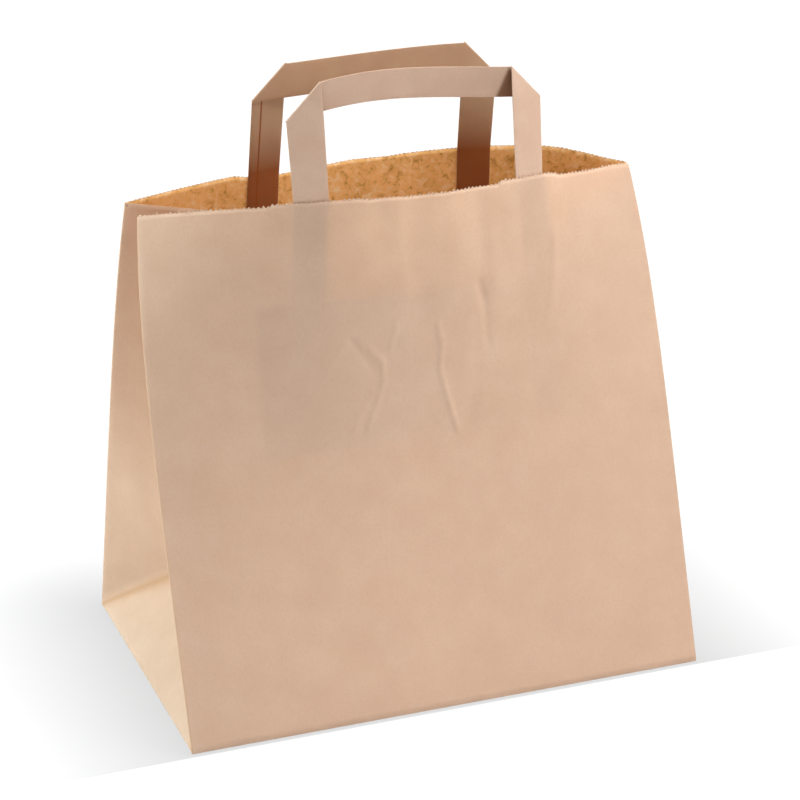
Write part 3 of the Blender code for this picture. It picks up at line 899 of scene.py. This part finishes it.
def tooth_tree():
    """A tree that puts a prism on each point, and the identifiers of its named inputs."""
    tree = bpy.data.node_groups.new("saw_teeth", "GeometryNodeTree")
    tree.interface.new_socket("Points", in_out="INPUT", socket_type="NodeSocketGeometry")
    names = {}
    for name in TOOTH_INPUTS:
        socket = tree.interface.new_socket(name, in_out="INPUT", socket_type="NodeSocketFloat")
        names[name] = socket.identifier
    tree.interface.new_socket("Teeth", in_out="OUTPUT", socket_type="NodeSocketGeometry")
    given = add_node(tree, "NodeGroupInput").outputs
    prism = add_node(tree, "GeometryNodeMeshCylinder", {"Vertices": 3, "Radius": 1.0, "Depth": 1.0})
    kinds = {"along": "FLOAT_VECTOR", "up": "FLOAT_VECTOR", "size": "FLOAT"}
    along, up, size = (
        add_node(tree, "GeometryNodeInputNamedAttribute", {"Name": name}, data_type=kind).outputs[0]
        for name, kind in kinds.items())
    turn = add_node(tree, "FunctionNodeAxesToRotation", {0: up, 1: along}, primary_axis="X",
                    secondary_axis="Y")
    worn = add_node(tree, "FunctionNodeRandomValue", {2: 0.3, 3: 1.1, "Seed": TOOTH_SEED}, data_type="FLOAT")
    whole = add_node(tree, "ShaderNodeMath", {0: given["Tooth Height"], 1: size}, operation="MULTIPLY")
    height = add_node(tree, "ShaderNodeMath", {0: whole.outputs[0], 1: worn.outputs[1]}, operation="MULTIPLY")
    tall = add_node(tree, "ShaderNodeMath", {0: height.outputs[0], 1: 1.5}, operation="DIVIDE")
    wide = add_node(tree, "ShaderNodeMath", {0: given["Tooth Pitch"], 1: math.sqrt(3)}, operation="DIVIDE")
    shape = add_node(tree, "ShaderNodeCombineXYZ", {
        0: tall.outputs[0], 1: wide.outputs[0], 2: given["Paper Thickness"]})
    teeth = add_node(tree, "GeometryNodeInstanceOnPoints", {
        "Points": given["Points"], "Instance": prism.outputs["Mesh"], "Rotation": turn.outputs[0],
        "Scale": shape.outputs[0]})
    real = add_node(tree, "GeometryNodeRealizeInstances", {0: teeth.outputs[0]})
    paper = add_node(tree, "GeometryNodeSetMaterial", {
        "Geometry": real.outputs[0], "Material": outside_paper})
    add_node(tree, "NodeGroupOutput", {0: paper.outputs[0]})
    return tree, names


def teeth_mesh():
    holder = mouth_line()
    modifier = holder.modifiers.new("teeth", "NODES")
    modifier.node_group, names = tooth_tree()
    for name, value in TOOTH_INPUTS.items():
        modifier[names[name]] = value
    depsgraph = bpy.context.evaluated_depsgraph_get()
    mesh = bpy.data.meshes.new_from_object(holder.evaluated_get(depsgraph), depsgraph=depsgraph)
    bpy.data.objects.remove(holder)
    return mesh


add_piece("mouth_teeth", teeth_mesh(), [], smooth=False)

# %% [markdown]
# ## Flaps under the base
#
# A block base is closed by two long flaps, folded in from the front and the rear and glued one over the
# other. They are thin, with their ends cut back at 45 degrees.

# %% Base flaps
FLAP_TUCK, FLAP_OVERLAP, FLAP_INSET, FLAP_PLY = 0.060, 0.030, 0.0015, 0.0002


def base_flap(side, bottom, top):
    edge, end = HALF_GUSSET - FLAP_INSET, WIDTH / 2 - FLAP_INSET
    cut = end - FLAP_TUCK
    outline = [(-end, edge), (end, edge), (cut, edge - FLAP_TUCK), (cut, -FLAP_OVERLAP / 2)]
    outline += [(-cut, -FLAP_OVERLAP / 2), (-cut, edge - FLAP_TUCK)]
    outline = [(x, side.sign * y) for x, y in outline]
    count = len(outline)
    vertices = [(x, y, z) for z in (bottom, top) for x, y in outline]
    faces = [tuple(range(count)), tuple(range(2 * count - 1, count - 1, -1))]
    faces += [(i, i + count, (i + 1) % count + count, (i + 1) % count) for i in range(count)]
    if side.sign < 0:
        faces = [tuple(reversed(face)) for face in faces]
    mesh = new_mesh(f"{side.name}_base_flap", vertices, faces)
    add_piece(f"{side.name}_base_flap", mesh, [outside_paper], smooth=False)


base_flap(REAR, FLAP_PLY, FLOOR - WALL / 2)
base_flap(FRONT, 0.0, FLOOR - WALL * 0.7)

# %% [markdown]
# ## The handles
#
# Each handle is one strip of several plies. It is glued up inside a wall, folds over itself at 45
# degrees to run across as the grip, and folds again to come down as the other leg. The folds have
# sprung open a little. The strip is laid out as a row of rulings, straight lines across it. Its last
# ply ends in a seam five millimetres from the edge, and each ruling has two points there.

# %% Handle paths
HANDLE_THICKNESS, HANDLE_FOLD_RADIUS = 0.0004, 0.0004
HANDLE_SEAM, HANDLE_SEAM_PLY, CLEARANCE = 0.005, 0.00015, 0.00035
SEAM_SHARES = np.array([HANDLE_SEAM - HANDLE_SEAM_PLY, HANDLE_SEAM + HANDLE_SEAM_PLY]) / HANDLE_WIDTH
ACROSS = np.sort(np.concatenate([[0, 0.14, 0.26, 0.33, 0.44, 0.58, 0.72, 0.86, 1], SEAM_SHARES]))
FOLD_STEPS, LEG_STEPS, FREE_STEPS = 10, 60, 14
TOP_SPAN = 0.0145
BAND_SHARES = np.unique(np.concatenate([np.linspace(0, 1, 41), np.linspace(0.92, 1, 17)]).round(5))[1:-1]
LIFT = HANDLE_THICKNESS / 2 + 0.00025


def straight(a, b):
    return a + (b - a) * ACROSS[:, None]


def leg_rulings(side, hand):
    """Rulings up a leg against the wall, then the directions along, up and inward that it leaves with."""
    centre = WIDTH / 2 + side.shift + hand * side.spacing / 2
    places = centre + hand * HANDLE_WIDTH * (0.5 - ACROSS)
    order = np.argsort(places)
    up_leg = np.linspace(HEIGHT - LEG_GLUED, HEIGHT, LEG_STEPS + 1)
    points, out = wall(side, places[order], up_leg)
    back = np.argsort(order)
    laid = (points - out * LIFT)[back].transpose(1, 0, 2)
    edges = smooth_wall(side, places[[0, -1]], [HEIGHT - TOP_SPAN, HEIGHT])
    top = edges[:, 1] - out[back][[0, -1], -1] * LIFT
    along, up = unit(top[1] - top[0]), unit(edges[0, 1] - edges[0, 0])
    inward = -side.sign * hand * unit(np.cross(along, up))
    lean, splay = side.legs[hand].lean, side.legs[hand].splay
    up = up * math.cos(lean) + inward * math.sin(lean)
    up = unit(up * math.cos(splay) + along * math.sin(splay))
    along = unit(along - up * (along @ up))
    return list(laid), top[0], along, up, -side.sign * hand * unit(np.cross(along, up))


def folded_corner(side, hand, outer, along, up, inward):
    """Rulings round the 45 degree fold at a leg's top, then the grip's first ruling and its direction."""
    fold, beyond = unit(along + up), unit(up - along)
    ends = np.array([outer, outer + (along + up) * HANDLE_WIDTH])
    rulings = []
    for turn in np.linspace(0, math.pi - side.legs[hand].opening, FOLD_STEPS + 1):
        shift = HANDLE_FOLD_RADIUS * (inward * (1 - math.cos(turn)) + beyond * math.sin(turn))
        rulings.append(ends + shift)
    onward = beyond * math.cos(turn) + inward * math.sin(turn)
    direction, across = unit(fold + onward), unit(fold - onward)
    low = rulings[-1][0] + direction * HANDLE_WIDTH
    rulings.append(np.array([low, low + across * HANDLE_WIDTH]))
    return rulings, direction


def grip(start, start_direction, end, end_direction):
    """Rulings along the grip: an even curve that leaves both folds in their own direction."""
    rulings, reach = [], np.linalg.norm(end[0] - start[0])
    for share in BAND_SHARES:
        a, b = (1 + 2 * share) * (1 - share) ** 2, share * (1 - share) ** 2 * reach
        c, d = share**2 * (3 - 2 * share), share**2 * (share - 1) * reach
        low, high = (a * start[i] + b * start_direction + c * end[i] - d * end_direction for i in (0, 1))
        rulings.append(np.array([low, low + unit(high - low) * HANDLE_WIDTH]))
    return rulings


def handle_rows(side):
    """All the rulings of one strip, from the foot of one leg to the foot of the other."""
    halves = []
    for hand in (-1, 1):
        laid, top, along, up, inward = leg_rulings(side, hand)
        outer = top + up * side.legs[hand].rise
        near = outer - up * HANDLE_FOLD_RADIUS
        free = straight(near, near + along * HANDLE_WIDTH)
        steps = np.linspace(0, 1, FREE_STEPS + 1)[1:]
        rows = laid + [laid[-1] + (free - laid[-1]) * step for step in steps]
        corner, direction = folded_corner(side, hand, outer, along, up, inward)
        halves.append((rows + [straight(*ruling) for ruling in corner], corner[-1], direction))
    (left, left_end, left_way), (right, right_end, right_way) = halves
    across = [straight(*ruling) for ruling in grip(left_end, left_way, right_end, right_way)]
    return np.array(left + across + right[::-1])


# %% [markdown]
# Where the front grip comes out from behind its right leg, the last ply has puckered into a small
# pocket that lies in shade. It is too shallow to need folds of its own, so the "shaded" attribute paints
# its shade as a dark triangle.

# %% Handle solids
EDGE_POINTS = 5
POCKET_BAND, POCKET_REACH, POCKET_SOFTNESS = 0.095, 0.0035, 0.0015
LEG_PAINTED_SHADE, LEG_PAINTED_SHADE_POWER = 0.9, 3.0
# Painted shade on the rear strip's side away from the bag, which shows on its grip.
FAR_SHADE = {"front": 0.0, "rear": 0.2}


def grid_faces(rows, columns, closed=False):
    """Quads over a grid of points; with `closed`, the last column joins the first."""
    quads = []
    for low in range(0, (rows - 1) * columns, columns):
        for column in range(columns if closed else columns - 1):
            after = (column + 1) % columns
            quads.append((low + column, low + after, low + columns + after, low + columns + column))
    return quads


def strip_solid(name, rows, thickness, turned_over, shade=None, far_shade=0.0):
    """A strip of paper with round long edges, from its middle surface.

    `shade` paints shade on the side towards the bag, and `far_shade` on the other one.
    """
    count, width = rows.shape[:2]
    faces = grid_faces(count, width)
    if turned_over:
        faces = [face[::-1] for face in faces]
    normals = vertex_normals(rows.reshape(-1, 3), faces).reshape(rows.shape)
    half = thickness / 2
    inset = np.clip(half / np.linalg.norm(rows[:, -1] - rows[:, 0], axis=-1), 0, 0.2)[:, None, None]
    middle = rows.mean(axis=1, keepdims=True)
    rows = middle + (rows - middle) * (1 - 2 * inset)
    first, last = unit(rows[:, 0] - rows[:, 1]), unit(rows[:, -1] - rows[:, -2])
    loops = [rows[:, c] + normals[:, c] * half for c in range(width)]
    turns = np.linspace(math.pi / 2, -math.pi / 2, EDGE_POINTS + 2)[1:-1]
    loops += [rows[:, -1] + half * (last * math.cos(t) + normals[:, -1] * math.sin(t)) for t in turns]
    loops += [rows[:, c] - normals[:, c] * half for c in range(width - 1, -1, -1)]
    loops += [rows[:, 0] + half * (first * math.cos(t) - normals[:, 0] * math.sin(t)) for t in turns]
    loops = np.array(loops).transpose(1, 0, 2)
    around = loops.shape[1]
    vertices = loops.reshape(-1, 3)
    faces = grid_faces(count, around, closed=True)
    faces += [tuple(range(around - 1, -1, -1)), tuple((count - 1) * around + c for c in range(around))]
    if turned_over:
        faces = [face[::-1] for face in faces]
    mesh = new_mesh(name, vertices, faces)
    if shade is not None:
        shaded, start = np.zeros(loops.shape[:2]), width + EDGE_POINTS
        shaded[:, start : start + width] = shade[:, ::-1]
        shaded[:, :width] = far_shade
        set_attribute(mesh, "shaded", shaded.ravel())
    return mesh


def grip_shade(side, count):
    """How much painted shade the strip's side towards the bag gets: the seam, the rear legs, and the front's
    pocket.
    """
    shade = np.zeros((count, len(ACROSS)))
    legs = LEG_STEPS + FREE_STEPS + 1
    # Painted shade down the rear legs, darkest at their low ends, and on the seam.
    if side is REAR:
        down = np.full(legs, LEG_PAINTED_SHADE)
        down[LEG_STEPS:] *= np.linspace(1, 0, FREE_STEPS + 1) ** LEG_PAINTED_SHADE_POWER
        shade[:legs] = np.maximum(down[:, None], np.isin(ACROSS, SEAM_SHARES))
        shade[-legs:] = down[::-1, None]
    else:
        # Painted shade of the front grip's pocket, a triangle beside its right leg.
        first, last = legs + FOLD_STEPS + 2, legs + FOLD_STEPS + 2 + len(BAND_SHARES)
        left = (1 - BAND_SHARES)[:, None] * POCKET_BAND
        reach = POCKET_REACH * (1 - ACROSS)[None, :] + POCKET_SOFTNESS
        shade[first:last] = np.clip((reach - left) / POCKET_SOFTNESS, 0, 1)
        shade[last : last + 2] = 1
        shade[first : last + 2, -1] = 0
    return shade


for side in (FRONT, REAR):
    rows = handle_rows(side)
    mesh = strip_solid(f"{side.name}_grip", rows, HANDLE_THICKNESS, side is REAR, grip_shade(side, len(rows)),
                       FAR_SHADE[side.name])
    add_piece(f"{side.name}_grip", mesh, [handle_papers[side.name]], [f"{side.name}_handle"])

# %% [markdown]
# ## The patches
#
# A patch is glued over both legs of a handle, inside the bag. It lies on the wall between the legs and
# steps up over each of them.

# %% Patches
PATCH_THICKNESS, PATCH_RAMP = 0.0003, 0.004


def patch_rows(side):
    centre = WIDTH / 2 + side.shift
    low = CLEARANCE + PATCH_THICKNESS / 2
    high = 2 * LIFT + CLEARANCE + PATCH_THICKNESS / 2
    half_leg = HANDLE_WIDTH / 2 + CLEARANCE
    knots = [(-PATCH_WIDTH / 2, low), (PATCH_WIDTH / 2, low)]
    for middle in (-side.spacing / 2, side.spacing / 2):
        knots += [(middle + end * half_leg, high) for end in (-1, 1)]
        knots += [(middle + end * (half_leg + PATCH_RAMP), low) for end in (-1, 1)]
    ends, steps = zip(*sorted(knots))
    places = np.unique(np.concatenate([np.linspace(-PATCH_WIDTH / 2, PATCH_WIDTH / 2, 120), ends]).round(5))
    lifts = np.interp(places, ends, steps)
    up_patch = np.linspace(HEIGHT - PATCH_DROP - PATCH_HEIGHT, HEIGHT - PATCH_DROP, 60)
    points, out = wall(side, centre + places, up_patch)
    return points - out * lifts[:, None, None]


for side in (FRONT, REAR):
    mesh = strip_solid(f"{side.name}_patch", patch_rows(side), PATCH_THICKNESS, side is FRONT)
    add_piece(f"{side.name}_patch", mesh, [inside_paper], [f"{side.name}_handle_patch"])

# %% [markdown]
# ## Last step
#
# The box of the CAD model and the box of what is shown are printed side by side.

# %% Sizes and finish
shown_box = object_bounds()
for name, box in (("CAD", cad_box), ("shown", shown_box)):
    print(name, "box:", [[round(value, 4) for value in corner] for corner in box])
